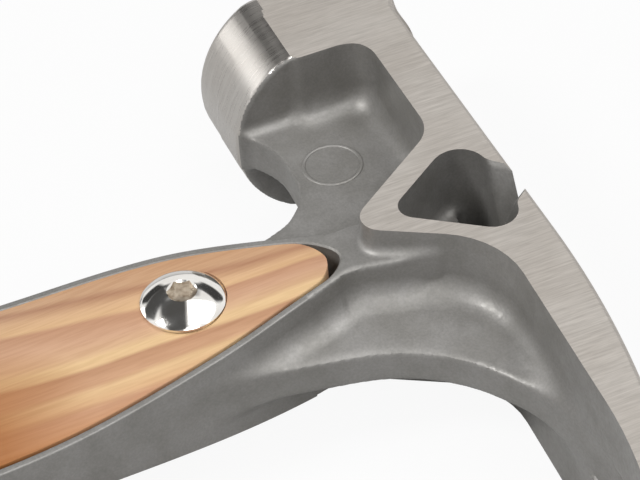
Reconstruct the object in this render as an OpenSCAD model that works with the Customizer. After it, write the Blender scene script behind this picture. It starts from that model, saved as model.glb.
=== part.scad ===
// Straight claw hammer: one cast frame, two wooden grip scales and three pairs of through fasteners.
// It lies on its ground side: +X points from the striking face to the claws, +Y to the top of the head.

/* [Striking face] */
// Diameter of the round striking face
poll_d = 35; // [32:0.5:38]
// Length of the poll from its face to the wall behind it
poll_length = 16.8; // [15:0.2:20]
// Length of the full-round stretch behind the face
collar_length = 8; // [6:0.5:10]
// Chamfer round the edge of the face
face_chamfer = 0.6; // [0.3:0.1:1.2]

/* [Head] */
// Length of the head from the striking face to the claw tips
head_length = 150; // [135:1:160]
// Thickness of the head between its two ground sides
body_t = 31; // [28:0.5:34]
// Height of the flat head top above the poll axis
top_y = 12; // [11:0.25:13.5]
// Radius of the step from the round poll down to the head top
step_r = 5; // [3:0.5:5.5]
// Thickness of the web between the side pockets
web_t = 6.4; // [4:0.2:9]
// Depth of the bar along the top of the head
bar_depth = 7.3; // [6:0.1:8.5]
// Distance from the striking face to the knee of the V-shaped strip
knee_x = 42; // [39:0.5:44]
// Distance from the striking face to the lowest corner of the V-shaped strip
apex_x = 56.1; // [54:0.1:58]
// Depth of that corner below the poll axis
apex_drop = 15.2; // [13:0.1:17]
// Distance from the striking face to the inner corner under the claw flange
shoulder_x = 67.9; // [66:0.1:72]
// Thickness of the shelf between the V-shaped strip and the handle
shelf_t = 21; // [17:0.5:23]

/* [Claws] */
// Depth of the claw flange where it leaves the V-shaped strip
flange_depth = 8; // [6.5:0.1:9]
// Distance from the striking face to the highest point of the claw curve
crest_x = 69; // [64:0.5:74]
// Radius of the upper claw curve
claw_r = 180; // [150:5:240]
// Distance from the striking face to the bend of the lower claw curve
bend_x = 114; // [108:1:120]
// Thickness of the claws at that bend
bend_t = 4.1; // [3:0.1:5]
// Radius of that bend
bend_r = 80; // [40:5:100]
// Thickness of the claws at their tips
tip_t = 1.8; // [1.2:0.1:2.6]
// Distance from the striking face to the root of the nail slot
slot_root_x = 107; // [100:1:115]
// Width of the nail slot at its root
slot_root_w = 2.2; // [1.6:0.1:3]
// Width of the nail slot at the claw tips
slot_tip_w = 13; // [9:0.5:16]
// Distance from the striking face to the start of the shallow relief under the nail slot
relief_x = 97; // [94:1:100]
// Length of the ramp at the start of that relief
relief_ramp = 9; // [7:1:12]
// Width of the relief at its start
relief_w = 8.4; // [7:0.2:10]
// Depth of the relief at the end of its ramp
relief_depth = 1.8; // [1:0.1:2.2]
// Depth of the relief at the claw tips
relief_tip_depth = 0.6; // [0.3:0.1:0.9]

/* [Window] */
// Thickness of the roof over the window
roof_t = 2.7; // [2:0.1:3.5]
// Shift of the window's left corner from the knee
window_left = 1.6; // [0.8:0.1:2.6]
// Height of the window's lowest corner above the corner of the V-shaped strip
window_rise = 6.6; // [5.4:0.1:8]
// Shift of the window's right corner from the shoulder
window_right = 1.8; // [0:0.1:2.4]
// Distance from the striking face to the middle of the nail notch
notch_x = 57.3; // [56:0.1:58.5]
// Width of the nail notch at the head top
notch_w = 5.4; // [4.4:0.1:6.4]
// Width of the nail notch at the window
notch_window_w = 8.6; // [7:0.1:9.6]
// Depth of the nail notch at the head top
notch_depth = 5.4; // [4:0.1:6.5]

/* [Neck] */
// Height of the web's lower edge above the bottom of the poll
neck_rise = 3.9; // [3:0.1:5]
// Distance from the striking face to the corner where the web turns down the handle
neck_x = 33.2; // [31:0.1:35]
// Distance from the striking face to the middle of the arch under the claws
arch_x = 71.5; // [70:0.1:74]
// Depth of the middle of the arch below the poll axis
arch_drop = 8.4; // [7:0.1:10]
// Radius of the arch under the claws
arch_r = 28; // [20:1:34]
// Distance from the striking face to the end of the arch
arch_end_x = 93; // [90:0.5:100]

/* [Handle] */
// Length of the hammer from the top of the poll to the butt
overall_length = 400; // [360:5:430]
// Distance from the striking face to the handle's centre line
handle_x = 53; // [51:0.1:54]
// Lean of the centre line toward the claws at the head end
tip_lean = 2; // [0:0.1:3]
// Distance of the handle's upper end below the poll axis
tip_s = 15.4; // [14.4:0.1:16]
// Width of the frame at its upper end
tip_w = 4; // [3:0.1:5]
// Distance of the shoulder station below the poll axis
shoulder_s = 24; // [22:0.5:26]
// Width of the frame at the shoulder station
shoulder_w = 13; // [12:0.1:14]
// Thickness of the frame at the shoulder station
shoulder_t = 20.4; // [18:0.1:21]
// Distance of the neck station below the poll axis
neck_s = 40; // [38:0.5:42]
// Width of the frame at the neck station
neck_w = 23.8; // [22:0.1:26]
// Thickness of the frame at the neck station
neck_t = 16.2; // [15:0.1:18]
// Distance of the throat station below the poll axis
throat_s = 64; // [60:1:70]
// Width of the frame at the throat station
throat_w = 30.8; // [28:0.1:33]
// Thickness of the frame at the throat station
throat_t = 10.6; // [9.5:0.1:13]
// Distance of the waist station below the poll axis
waist_s = 88; // [80:1:110]
// Width of the frame at the waist station
waist_w = 32.6; // [30:0.1:35]
// Thickness of the frame at the waist station
waist_t = 9.8; // [9:0.1:13]
// Distance of the palm station below the poll axis
palm_s = 210; // [180:5:240]
// Width of the frame at the palm station
palm_w = 31; // [28:0.1:34]
// Thickness of the frame at the palm station
palm_t = 17; // [15:0.1:20]
// Distance of the heel station from the end of the handle
heel_s = 62; // [50:1:75]
// Width of the frame at the heel station
heel_w = 31.6; // [29:0.1:34]
// Thickness of the frame at the heel station
heel_t = 17.2; // [15:0.1:19]
// Distance of the butt station from the end of the handle
butt_s = 14; // [10:1:20]
// Width of the frame at the butt station
butt_w = 37; // [34:0.5:40]
// Radius of the outer corners of the butt
butt_r = 7; // [4:0.5:9]

/* [Scales] */
// Width of the metal rim round each scale
rim_w = 1.2; // [0.8:0.1:2]
// Thickness of the plate between the two scales
plate_t = 3; // [2:0.1:4]
// Gap between each scale and the rim
scale_gap = 0.15; // [0.1:0.05:0.3]
// Gap between the upper end of each scale and its pocket
scale_end_gap = 1.5; // [0.5:0.1:2]
// Wall left between the head shelf and the scale pocket
pocket_wall = 1.4; // [1:0.1:2]
// Radius of the round upper end of the pocket
pocket_end_r = 3.4; // [2.5:0.1:4]
// Metal left below the scales at the butt
butt_wall = 9; // [6:0.5:12]
// Height of the edge of each scale above the rim
edge_proud = 0.3; // [0.1:0.1:0.6]
// Radius of the crown across each scale
crown_r = 36; // [30:1:48]

/* [Fasteners] */
// Distance of the first fastener below the poll axis
first_screw_s = 40.2; // [38:0.2:44]
// Spacing of the fasteners along the handle
screw_pitch = 140; // [120:1:145]
// Diameter of each domed head
head_d = 12.6; // [11:0.2:14]
// Height of each domed head
head_h = 2.7; // [2:0.1:3.2]
// Height of the straight edge under the dome
head_edge = 0.6; // [0.2:0.1:0.8]
// Size across flats of the hexagonal socket
socket_af = 4; // [3:0.5:5]
// Depth of the hexagonal socket
socket_depth = 2.4; // [1.5:0.1:3]
// Widening of the socket mouth
socket_chamfer = 0.5; // [0.2:0.1:0.8]
// Diameter of the screw shank
shank_d = 5; // [4:0.5:6]
// Length of the screw shank
shank_length = 9; // [7:0.5:11]
// Outer diameter of the sleeve of each nut
sleeve_d = 8; // [7:0.5:9]
// Radial clearance of each sleeve in its holes
sleeve_clear = 0.1; // [0.05:0.05:0.3]
// Radial clearance of each shank in its sleeve
shank_clear = 0.05; // [0.05:0.05:0.2]
// Gap between the end of each sleeve and the screw head
draw_gap = 0.8; // [0.4:0.1:1.5]
// Free depth of the sleeve bore past the shank
bore_spare = 1.5; // [0.5:0.1:3]
// Depth of the head seat below the crown of the scale
seat_sink = 0.45; // [0.3:0.05:1]
// Radial gap between each head and its seat wall
seat_clear = 0.2; // [0.1:0.05:0.4]

/* [Hidden] */
$fn = 64;
over = 1;
poll_r = poll_d / 2;
body_h = body_t / 2;
plate_h = plate_t / 2;
end_s = overall_length - poll_r;
scale_end_s = end_s - butt_wall;
pocket_y = top_y - bar_depth;
flange_y = top_y - flange_depth;
roof_y = top_y - roof_t;
screw_s = [for (i = [0:2]) first_screw_s + i * screw_pitch];
corner_steps = 6;
handle_steps = 44;
crown_steps = 8;

// Fillet radii of the outlines, in the order in which each outline meets them
knee_r = 4.5;
apex_r = 3.2;
shoulder_r = 14;
poll_wall_r = 6;
window_low_r = 2.7;
window_left_r = 4.3;
window_right_r = 3.7;
neck_start_r = 12;
neck_corner_r = 4;
neck_blend_r = 40;
slot_root_r = 1;

// Small helpers
function unit(v) = v / norm(v);
function xy(p) = [p[0], p[1]];

// A corner of an outline, rounded with radius r and limited by the lengths of its two edges
function corner(a, b, c, r) =
  r == 0 ? [b] :
  let (
    u = unit(a - b),
    v = unit(c - b),
    half = acos(max(-1, min(1, u * v))) / 2,
    reach = min(r / tan(half), 0.48 * norm(a - b), 0.48 * norm(c - b)),
    rr = reach * tan(half),
    centre = b + unit(u + v) * rr / sin(half),
    p0 = b + u * reach - centre,
    p1 = b + v * reach - centre,
    a0 = atan2(p0[1], p0[0]),
    turn = (atan2(p1[1], p1[0]) - a0 + 540) % 360 - 180
  )
  [for (k = [0:corner_steps]) let (t = a0 + turn * k / corner_steps) centre + rr * [cos(t), sin(t)]];

// An outline whose points are [x, y, corner radius]
function rounded(pts) =
  let (n = len(pts))
  [for (i = [0:n - 1]) each corner(xy(pts[(i + n - 1) % n]), xy(pts[i]), xy(pts[(i + 1) % n]), pts[i][2])];

// Height of the upper claw curve at a distance x from the striking face
function claw_top(x) = top_y - claw_r + sqrt(claw_r * claw_r - (x - crest_x) * (x - crest_x));

// Lower side of the claws, from the tip round the bend to the shoulder
function claw_underside() =
  let (
    crest = [crest_x, top_y - claw_r],
    tip_top = [head_length, claw_top(head_length)],
    tip_low = tip_top - tip_t * unit(tip_top - crest)
  )
  concat(
    [tip_low],
    corner(tip_low, [bend_x, claw_top(bend_x) - bend_t], [shoulder_x, flange_y], bend_r),
    [[shoulder_x, flange_y]]
  );

// Smooth curve through the rows of a table, read at s in column k
function row_at(t, s, i = 0) = i >= len(t) - 2 || s < t[i + 1][0] ? i : row_at(t, s, i + 1);
function slope(t, i, k) =
  let (a = max(i - 1, 0), b = min(i + 1, len(t) - 1)) (t[b][k] - t[a][k]) / (t[b][0] - t[a][0]);
function curve(t, s, k) =
  let (
    i = row_at(t, s),
    span = t[i + 1][0] - t[i][0],
    u = (s - t[i][0]) / span,
    m0 = slope(t, i, k) * span,
    m1 = slope(t, i + 1, k) * span
  )
  t[i][k] * (2 * u * u * u - 3 * u * u + 1) + t[i + 1][k] * (3 * u * u - 2 * u * u * u)
  + m0 * (u * u * u - 2 * u * u + u) + m1 * (u * u * u - u * u);

// Height of the crown over a scale of half width w
function sag(w) = crown_r - sqrt(crown_r * crown_r - w * w);

// Handle stations: distance below the poll axis, centre line, half width and half thickness of the frame
stations = [
  [tip_s, handle_x + tip_lean, tip_w / 2, shelf_t / 2],
  [shoulder_s, handle_x + 0.7 * tip_lean, shoulder_w / 2, shoulder_t / 2],
  [neck_s, handle_x + 0.15 * tip_lean, neck_w / 2, neck_t / 2],
  [throat_s, handle_x, throat_w / 2, throat_t / 2],
  [waist_s, handle_x, waist_w / 2, waist_t / 2],
  [palm_s, handle_x, palm_w / 2, palm_t / 2],
  [end_s - heel_s, handle_x, heel_w / 2, heel_t / 2],
  [end_s - butt_s, handle_x, butt_w / 2, body_h - sag(butt_w / 2)],
  [end_s, handle_x, butt_w / 2, body_h - sag(butt_w / 2)]
];
function centre_x(s) = curve(stations, s, 1);
function frame_w(s) = curve(stations, s, 2);
function frame_h(s) = curve(stations, s, 3);

// Half width of a round-ended leaf that starts at s0 and stays inside the frame by wall
function leaf_w(s, s0, wall, r) =
  let (w = frame_w(s) - wall, d = s - s0) d >= r ? w : min(w, sqrt(max(0, r * r - (r - d) * (r - d))));

// Distances along a leaf, closer together at its round upper end
function leaf_steps(s0, s1) = [for (i = [0:handle_steps]) s0 + (s1 - s0) * pow(i / handle_steps, 1.8)];
function leaf_outline(s0, s1, wall, r) =
  let (steps = leaf_steps(s0, s1), last = len(steps) - 1)
  concat(
    [for (i = [0:last]) let (s = steps[i]) [centre_x(s) - leaf_w(s, s0, wall, r), -s]],
    [for (i = [last:-1:1]) let (s = steps[i]) [centre_x(s) + leaf_w(s, s0, wall, r), -s]]
  );

// Round upper end and half width of the pocket and of the scale inside it
pocket_s = tip_s + pocket_wall;
scale_s = pocket_s + scale_end_gap;
function scale_w(s) = leaf_w(s, scale_s, rim_w + scale_gap, pocket_end_r - scale_gap);
function scale_top(s) = frame_h(s) + edge_proud + sag(scale_w(s));
function seat_z(s) = scale_top(s) - seat_sink;

// Moves the hammer from the striking face and poll axis to its own frame
module placed() translate([-head_length / 2, overall_length / 2 - poll_r, body_h]) children();

module both_sides() {
  children();
  mirror([0, 0, 1]) children();
}

module slab(t) linear_extrude(t, center = true) children();

// Turned poll, ground flat on both sides and stepped down to the head top
module poll() {
  difference() {
    intersection() {
      rotate([0, 90, 0]) union() {
        cylinder(h = face_chamfer, r1 = poll_r - face_chamfer, r2 = poll_r);
        translate([0, 0, face_chamfer]) cylinder(h = poll_length - face_chamfer, r = poll_r);
      }
      translate([-over, -poll_d, -body_h]) cube([poll_length + 2 * over, 2 * poll_d, body_t]);
    }
    slab(body_t + 2 * over) polygon(rounded([
      [collar_length, poll_d, 0],
      [collar_length, top_y, step_r],
      [poll_length + over, top_y, 0],
      [poll_length + over, poll_d, 0]
    ]));
  }
}

// Full-thickness bar, V-shaped strip and claw flange
module flanks() {
  tip_low = claw_underside()[0];
  upper = [for (i = [0:12]) let (x = crest_x + (head_length - crest_x) * i / 12) [x, claw_top(x)]];
  lower = rounded([
    [tip_low[0], tip_low[1], 0],
    [bend_x, claw_top(bend_x) - bend_t, bend_r],
    [shoulder_x, flange_y, shoulder_r],
    [apex_x, -apex_drop, apex_r],
    [knee_x, pocket_y, knee_r],
    [poll_length, pocket_y, poll_wall_r],
    [poll_length, -poll_wall_r, 0],
    [collar_length, -poll_wall_r, 0],
    [collar_length, top_y, 0]
  ]);
  slab(body_t) polygon(concat(upper, lower));
}

// Web between the side pockets, from the poll down to the handle and out to the arch
module web() {
  slab(web_t) polygon(rounded([
    [collar_length, 0, 0],
    [collar_length, -poll_r + over, 0],
    [poll_length, -poll_r + over, 0],
    [poll_length + 6, -poll_r + neck_rise, neck_start_r],
    [neck_x, -poll_r + neck_rise, neck_corner_r],
    [centre_x(neck_s) - frame_w(neck_s) + over, -neck_s + 12, neck_blend_r],
    [centre_x(neck_s) - frame_w(neck_s) + over, -neck_s, 0],
    [centre_x(neck_s) + frame_w(neck_s) - over, -neck_s, 0],
    [arch_x, -arch_drop, arch_r],
    [arch_end_x, flange_y, 0],
    [arch_end_x, flange_y + over, 0],
    [shoulder_x, flange_y + over, 0],
    [knee_x, pocket_y + over, 0]
  ]));
}

// Raised shelf that carries the V-shaped strip on the upper end of the handle
module shelf() {
  slab(shelf_t) polygon(rounded([
    [apex_x - 6.2, -apex_drop + 6, 0],
    [apex_x - 5.4, -apex_drop - 1, 8],
    [centre_x(shoulder_s) - frame_w(shoulder_s), -shoulder_s, 0],
    [centre_x(shoulder_s) + frame_w(shoulder_s), -shoulder_s, 0],
    [apex_x + 4.2, -apex_drop + 2, 8],
    [apex_x + 5.2, -apex_drop + 10, 0]
  ]));
}

// Handle frame: the leaf outline cut to its side profile
module handle_frame() {
  steps = leaf_steps(tip_s, end_s);
  last = len(steps) - 1;
  intersection() {
    slab(body_t) polygon(leaf_outline(tip_s, end_s, 0, tip_w / 2));
    rotate([90, 0, 90]) linear_extrude(2 * head_length) polygon(concat(
      [for (i = [0:last]) [-steps[i], frame_h(steps[i])]],
      [for (i = [last:-1:0]) [-steps[i], -frame_h(steps[i])]]
    ));
    butt_corners();
  }
}

// Crowned butt, level with the two ground sides of the head
module butt() {
  intersection() {
    slab(body_t) polygon(leaf_outline(tip_s, end_s, 0, tip_w / 2));
    butt_crown();
    mirror([0, 0, 1]) butt_crown();
    butt_corners();
  }
}

module butt_crown() {
  translate([handle_x, -scale_end_s, body_h - crown_r])
    rotate([90, 0, 0]) cylinder(h = butt_wall, r = crown_r, $fn = 128);
}

// Everything above the end of the handle, with the two outer corners rounded
module butt_corners() {
  slab(2 * body_t) polygon(rounded([
    [handle_x - butt_w / 2, -end_s, butt_r],
    [handle_x + butt_w / 2, -end_s, butt_r],
    [handle_x + butt_w / 2, -end_s + 2 * butt_r + butt_wall, 0],
    [handle_x + 2 * butt_w, -end_s + 3 * butt_r + butt_wall, 0],
    [handle_x + 2 * butt_w, 0, 0],
    [handle_x - 2 * butt_w, 0, 0],
    [handle_x - 2 * butt_w, -end_s + 3 * butt_r + butt_wall, 0],
    [handle_x - butt_w / 2, -end_s + 2 * butt_r + butt_wall, 0]
  ]));
}

// Blind triangular window on the upper side
module window() {
  translate([0, 0, web_t / 2]) linear_extrude(body_h) polygon(rounded([
    [knee_x + window_left, roof_y, window_left_r],
    [apex_x, -apex_drop + window_rise, window_low_r],
    [shoulder_x + window_right, roof_y, window_right_r]
  ]));
}

// Bevelled nail notch through the window roof, wider and deeper toward the window
module nail_notch() {
  y0 = roof_y - over;
  y1 = top_y + over;
  growth = (notch_window_w - notch_w) / roof_t;
  w0 = (notch_window_w + growth * over) / 2;
  w1 = (notch_w - growth * over) / 2;
  bevel = 2 * notch_depth / notch_w;
  lift = 0.5;
  polyhedron(
    points = [
      [notch_x - w0 - lift / bevel, y0, body_h + lift],
      [notch_x + w0 + lift / bevel, y0, body_h + lift],
      [notch_x, y0, body_h - w0 * bevel],
      [notch_x - w1 - lift / bevel, y1, body_h + lift],
      [notch_x + w1 + lift / bevel, y1, body_h + lift],
      [notch_x, y1, body_h - w1 * bevel]
    ],
    faces = [[0, 1, 2], [3, 5, 4], [0, 3, 4, 1], [1, 4, 5, 2], [2, 5, 3, 0]]
  );
}

// Half width of the nail slot at a distance x from the striking face
function slot_half(x) =
  (slot_root_w + (slot_tip_w - slot_root_w) * (x - slot_root_x) / (head_length - slot_root_x)) / 2;

// Tapered nail slot between the two claws
module nail_slot() {
  reach = head_length + over;
  tip_half = slot_half(reach);
  rotate([90, 0, 0]) linear_extrude(4 * poll_d, center = true) polygon(rounded([
    [slot_root_x, -slot_root_w / 2, slot_root_r],
    [reach, -tip_half, 0],
    [reach, tip_half, 0],
    [slot_root_x, slot_root_w / 2, slot_root_r]
  ]));
}

// Shallow relief round the nail slot on the lower side of the claws, entered by a ramp
module slot_relief() {
  low = claw_underside();
  reach = head_length + over;
  ramp_end = relief_x + relief_ramp;
  lead = relief_ramp / 10;
  depths = [
    [relief_x - lead, -relief_depth / 10],
    [ramp_end, relief_depth],
    [head_length, relief_tip_depth]
  ];
  steps = [relief_x - lead, each [for (i = [0:8]) ramp_end + (head_length - ramp_end) * i / 8], reach];
  start_half = relief_w / 2;
  reach_half = slot_half(reach) + (relief_w - slot_root_w) / 2;
  below = bend_t;
  intersection() {
    slab(body_t) polygon(concat(
      [for (x = steps) [x, lookup(x, low) + lookup(x, depths)]],
      [[reach, lookup(reach, low) - below], [relief_x - lead, lookup(relief_x, low) - below]]
    ));
    rotate([90, 0, 0]) linear_extrude(2 * poll_d, center = true) polygon([
      [relief_x - 2 * lead, -start_half],
      [reach, -reach_half],
      [reach, reach_half],
      [relief_x - 2 * lead, start_half]
    ]);
  }
}

// Pocket for the upper scale
module scale_pocket() {
  translate([0, 0, plate_h]) linear_extrude(body_h)
    polygon(leaf_outline(pocket_s, scale_end_s, rim_w, pocket_end_r));
}

// Ring that turns the corners of the top bar down to the round collar
module collar_turning() {
  rotate([0, 90, 0]) rotate_extrude() polygon([
    [poll_r, collar_length],
    [poll_d, collar_length],
    [poll_d, collar_length + poll_r]
  ]);
}

module sleeve_hole(s, clear) {
  translate([centre_x(s), -s, -body_t]) cylinder(h = 2 * body_t, d = sleeve_d + 2 * clear);
}

module hammer_body() {
  color("darkgray") placed() difference() {
    union() {
      poll();
      flanks();
      web();
      shelf();
      handle_frame();
      butt();
    }
    collar_turning();
    both_sides() {
      window();
      nail_notch();
      scale_pocket();
    }
    nail_slot();
    slot_relief();
    for (s = screw_s) sleeve_hole(s, sleeve_clear);
  }
}

// One cross-section of the upper scale: flat floor, upright edges and a crowned top
function scale_ring(s) =
  let (w = max(scale_w(s), 1), edge = frame_h(s) + edge_proud, drop = sag(w), x = centre_x(s))
  concat(
    [[x - w, -s, plate_h]],
    [
      for (j = [0:crown_steps])
        let (c = w * (2 * j / crown_steps - 1)) [x + c, -s, edge + drop - sag(abs(c))]
    ],
    [[x + w, -s, plate_h]]
  );

module scale_blank() {
  steps = leaf_steps(scale_s + 0.4, scale_end_s);
  n = len(steps);
  k = crown_steps + 3;
  polyhedron(
    points = [for (s = steps) each scale_ring(s)],
    faces = concat(
      [[for (j = [k - 1:-1:0]) j]],
      [[for (j = [0:k - 1]) (n - 1) * k + j]],
      [for (i = [0:n - 2], j = [0:k - 1]) [i * k + j, i * k + (j + 1) % k, (i + 1) * k + (j + 1) % k]],
      [for (i = [0:n - 2], j = [0:k - 1]) [i * k + j, (i + 1) * k + (j + 1) % k, (i + 1) * k + j]]
    )
  );
}

// Upper scale with its sleeve holes and the flat seats of the domed heads
module scale_solid() {
  difference() {
    scale_blank();
    for (s = screw_s) {
      sleeve_hole(s, sleeve_clear);
      translate([centre_x(s), -s, seat_z(s)]) cylinder(h = body_h, d = head_d + 2 * seat_clear);
    }
  }
}

module grip_scale_top() {
  color("burlywood") placed() scale_solid();
}

module grip_scale_bottom() {
  color("burlywood") placed() mirror([0, 0, 1]) scale_solid();
}

// Domed head with a hexagonal socket, its flat underside on z = 0
module domed_head() {
  rise = head_h - head_edge;
  ball_r = (head_d * head_d / 4 + rise * rise) / (2 * rise);
  difference() {
    union() {
      cylinder(h = head_edge, d = head_d);
      intersection() {
        translate([0, 0, head_h - ball_r]) sphere(r = ball_r, $fn = 128);
        translate([0, 0, head_edge]) cylinder(h = head_h, d = head_d);
      }
    }
    translate([0, 0, head_h - socket_depth]) cylinder(h = head_h, d = socket_af / cos(30), $fn = 6);
    translate([0, 0, head_h - socket_chamfer])
      cylinder(h = 2 * socket_chamfer, d1 = socket_af, d2 = socket_af + 4 * socket_chamfer);
  }
}

// Screw whose head sits on the upper scale
module scale_screw(i) {
  s = screw_s[i];
  color("silver") placed() translate([centre_x(s), -s, seat_z(s)]) {
    domed_head();
    translate([0, 0, -shank_length]) cylinder(h = shank_length, d = shank_d);
  }
}

// Sleeve nut whose head sits on the lower scale
module scale_nut(i) {
  s = screw_s[i];
  sleeve_top = seat_z(s) - draw_gap;
  bore_depth = shank_length + bore_spare;
  color("silver") placed() translate([centre_x(s), -s, 0]) {
    translate([0, 0, -seat_z(s)]) mirror([0, 0, 1]) domed_head();
    difference() {
      translate([0, 0, -seat_z(s)]) cylinder(h = seat_z(s) + sleeve_top, d = sleeve_d);
      translate([0, 0, seat_z(s) - bore_depth]) cylinder(h = bore_depth, d = shank_d + 2 * shank_clear);
    }
  }
}

hammer_body();
grip_scale_top();
grip_scale_bottom();
scale_screw(0);  // scale_screw_1
scale_screw(1);  // scale_screw_2
scale_screw(2);  // scale_screw_3
scale_nut(0);  // scale_nut_1
scale_nut(1);  // scale_nut_2
scale_nut(2);  // scale_nut_3
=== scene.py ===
"""Straight claw hammer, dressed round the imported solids: cast frame, wooden scales and domed fasteners."""
import math

import bmesh
import bpy
import numpy as np
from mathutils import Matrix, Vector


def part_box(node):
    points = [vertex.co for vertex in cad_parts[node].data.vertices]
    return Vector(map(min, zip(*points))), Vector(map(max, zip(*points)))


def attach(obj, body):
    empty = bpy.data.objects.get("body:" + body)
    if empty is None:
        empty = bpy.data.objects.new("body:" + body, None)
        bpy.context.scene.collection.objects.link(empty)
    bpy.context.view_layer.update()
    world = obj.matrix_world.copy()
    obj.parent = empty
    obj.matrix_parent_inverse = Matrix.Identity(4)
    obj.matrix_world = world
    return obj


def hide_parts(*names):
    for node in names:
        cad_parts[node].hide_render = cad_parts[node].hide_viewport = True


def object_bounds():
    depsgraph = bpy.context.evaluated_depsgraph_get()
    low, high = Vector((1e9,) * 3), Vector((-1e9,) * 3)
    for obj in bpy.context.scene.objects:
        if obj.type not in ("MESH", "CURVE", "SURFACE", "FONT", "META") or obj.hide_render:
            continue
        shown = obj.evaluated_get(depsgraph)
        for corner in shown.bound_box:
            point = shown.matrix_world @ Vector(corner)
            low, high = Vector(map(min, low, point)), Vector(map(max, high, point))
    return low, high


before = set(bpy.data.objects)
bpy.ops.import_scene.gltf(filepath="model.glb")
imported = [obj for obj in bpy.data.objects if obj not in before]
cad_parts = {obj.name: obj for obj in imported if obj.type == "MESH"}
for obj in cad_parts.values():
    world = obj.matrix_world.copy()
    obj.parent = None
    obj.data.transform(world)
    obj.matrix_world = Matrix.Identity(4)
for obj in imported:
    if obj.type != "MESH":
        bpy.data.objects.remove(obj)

import openvdb
from mathutils import Matrix, Vector

cad_lo, cad_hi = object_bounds()

# Hammer coordinates are in millimetres: x from the striking face to the claws, y up from the poll's axis,
# and z from the plane midway between the ground sides; s is a distance down the handle from the poll's axis.
MM = 0.001
body_lo, body_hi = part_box("hammer_body")
HEAD_LENGTH = (body_hi.x - body_lo.x) / MM
OVERALL_LENGTH = (body_hi.y - body_lo.y) / MM
BODY_HALF = (body_hi.z - body_lo.z) / 2 / MM

# Sampling of the casting, and lengths that reach past a cut
GRID = 0.4
FIELD_BAND = 3.0
FAR = 9.0
OVERLAP = 1.0
DIAGONAL = 0.7071

# Poll
POLL_R = 17.5
POLL_LENGTH = 16.8
COLLAR_LENGTH = 8.0
COLLAR_CONE_FADE = 0.8
FACE_CHAMFER = 0.6
STEP_R = 5.0
REAR_EDGE_R = 0.5
FLAT_OFFSET = 0.06
FLAT_BLEND = 1.1
POLL_FILLET = 2.0
POLL_CORE_X = COLLAR_LENGTH - 2
POLL_CORE_Y = -6.0

# Head
TOP_Y = 12.0
TOP_CHAMFER = 0.7
TOP_CHAMFER_SHARES = (0, 0.3, 0.6, 0.8, 0.9, 1, 1)
ABOVE_TOP = 16.0
PAST_CUT = 1.4
POCKET_Y = 4.7
POCKET_REAR_R = 6.0
KNEE_X = 42.0
KNEE_R = 6.4
APEX = (56.1, -15.2)
APEX_R = 3.2
SHOULDER_X = 67.9
SHOULDER_R = 14.0
FLANGE_Y = 4.0
WALL_FILLET = 4.2
WINDOW_FILLET = 1.8
SHELF_FILLET = 1.3
RIDGE_FILLET = 3.6

# Claws
CREST_X = 69.0
CLAW_R = 180.0
BEND_X = 114.0
BEND_T = 4.1
BEND_R = 80.0
TIP_T = 1.8
PAST_TIP = 0.3
SLOT_ROOT_X = 107.0
SLOT_ROOT_HALF = 1.1
SLOT_TIP_HALF = 6.5
RELIEF_X = 97.0
RELIEF_RAMP = 9.0
RELIEF_HALF = 4.2
RELIEF_DEPTH = 1.8
RELIEF_TIP_DEPTH = 0.6
RELIEF_EDGE_R = 0.3

# Window, as corners (x, y, radius), and nail notch, with half widths towards the poll and the claws
ROOF_Y = 9.3
WINDOW = (
    (43.6, ROOF_Y, 4.3),
    (APEX[0], -8.6, 2.7),
    (69.7, ROOF_Y, 3.7),
)
NOTCH_X = 57.3
NOTCH_HALF = (2.4, 2.6)
NOTCH_WINDOW_HALF = (5.2, 4.6)
NOTCH_BEVEL = math.radians(27)
NOTCH_BELOW = 4.0
NOTCH_LIP = 0.4
NOTCH_LIP_DEPTH = 0.7
NOTCH_EDGE_R = 0.6

# Web between the pockets, with the neck and the arch
WEB_HALF = 3.2
WEB_EDGE_R = 0.4
NECK_Y = -12.9
NECK_X = 33.6
NECK_S = 40.0
ARCH = (71.5, -8.4)
ARCH_R = 28.0
ARCH_END_X = 93.0
TILT_X = 54.0
TILT = 0.1
TILT_START = 2.0
TILT_REACH = 10.0
WEB_ROLL = 0.5
WEB_ROLL_W = 2.6

# Shelf, as corners (x, y, radius) measured from the apex of the V-shaped strip
SHELF_LEFT = ((-4.7, 7, 0), (-5.4, -0.4, 5))
SHELF_RIGHT = ((3.2, -1, 6), (5.3, 5.2, 20), (6.8, 11.5, 0))
SHELF_FALL = 0.11
RIDGE_R = 0.6

# Handle stations: s, centre line, half width and half thickness of the frame
CENTRE = 1
HALF = 2
RIM = 3
CROWN_R = 36.0
BUTT_HALF = 18.5
END_S = OVERALL_LENGTH - POLL_R


def sag(w):
    """Height of the crown across a scale of half width w."""
    return CROWN_R - np.sqrt(CROWN_R**2 - np.asarray(w, float) ** 2)


BUTT_RIM = BODY_HALF - float(sag(BUTT_HALF))
STATIONS = np.array([
    (15.4, 55.6, 3.6, 10.5),
    (24.0, 54.9, 7.1, 10.2),
    (40.0, 53.6, 12.2, 8.1),
    (64.0, 53.3, 15.7, 5.3),
    (88.0, 53.2, 16.5, 4.9),
    (210.0, 53.0, 15.5, 8.5),
    (END_S - 62.0, 53.0, 15.8, 8.6),
    (END_S - 14.0, 53.0, BUTT_HALF, BUTT_RIM),
    (END_S, 53.0, BUTT_HALF, BUTT_RIM),
])
START_S = STATIONS[0, 0]
START_R = 3.0
BAR_S = 24.0
BAR_INSET = 0.12
BAR_INSET_RAMP = 6.0
SIDE_EDGE_R = 0.3
BUTT_CORNER_R = 7.0
RIM_W = 1.3
RIM_BEVEL = 0.3
PLATE_HALF = 1.5
POCKET_S = 16.4
POCKET_END_R = 3.8

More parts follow.
